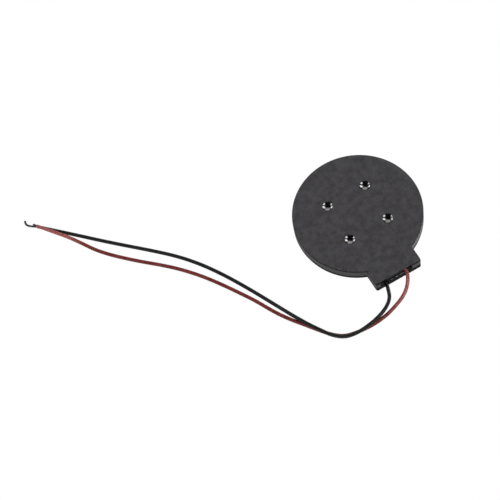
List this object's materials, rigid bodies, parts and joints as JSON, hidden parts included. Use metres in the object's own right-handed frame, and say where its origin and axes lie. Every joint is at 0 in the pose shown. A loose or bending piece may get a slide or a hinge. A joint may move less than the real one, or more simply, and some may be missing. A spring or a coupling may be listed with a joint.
{
  "type": "vibration coin motor",
  "caption": "Flat round coin-type vibration motor with an unbalanced rotor inside, a square lead tab, dished rivet heads in the cover and thin coloured leads with bare ends.",
  "frame": {"origin": "on the rotor's axis, at the middle of the case's flat bottom face", "axes": "+Z along the rotor's axis, up through the cover; -Y towards the lead tab; +X towards the red lead's side of the tab"},
  "size_m": [0.0685, 0.0559, 0.0029],
  "materials": {
    "case_plastic": "fine mottled moulding texture, dark grey",
    "rivet_steel": "bright, nickel-plated",
    "red_insulation": "soft sheen, paler near the motor",
    "black_insulation": "soft sheen",
    "tinned_wire": "dull tinned",
    "glue": "grey cured glue",
    "yoke_steel": "plain cold-rolled",
    "shaft_steel": "ground",
    "flex_board": "amber polyimide",
    "copper": "bare copper",
    "magnet": "nickel-grey sintered magnet",
    "brush_metal": "spring bronze",
    "contact_metal": "gold alloy",
    "washer_plastic": "white low-friction plastic",
    "bush_bronze": "oil-filled sintered bronze",
    "board_green": "green laminate",
    "coil_wire": "enamelled copper",
    "weight_metal": "dull brass",
    "rotor_resin": "black moulding resin",
    "solder": "bright solder"
  },
  "bodies": {
    "case": {"bottom_case": "case_plastic", "top_cover": "case_plastic", "cover_rivets": "rivet_steel", "red_lead": "red_insulation", "black_lead": "black_insulation", "red_lead_tip": "tinned_wire", "black_lead_tip": "tinned_wire", "lead_glue": "glue", "base_yoke": "yoke_steel", "shaft": "shaft_steel", "brush_board": "flex_board", "solder_pads": "copper", "ring_magnet": "magnet", "brush_positive": "brush_metal", "brush_negative": "brush_metal", "brush_contacts": "contact_metal", "red_lead_core": "tinned_wire", "black_lead_core": "tinned_wire", "solder_joints": "solder", "lower_thrust_washer": "washer_plastic", "upper_thrust_washer": "washer_plastic", "flux_plate": "yoke_steel"},
    "rotor": {"rotor_bearing": "bush_bronze", "commutator_board": "board_green", "commutator_segments": "contact_metal", "rotor_coil_left": "coil_wire", "rotor_coil_right": "coil_wire", "counterweight": "weight_metal", "rotor_body": "rotor_resin"}
  },
  "joints": [
    {"name": "rotor_spin", "type": "hinge", "parent": "case", "child": "rotor", "pos_m": [0, 0, 0], "axis": [0, 0, 1], "continuous": true}
  ]
}
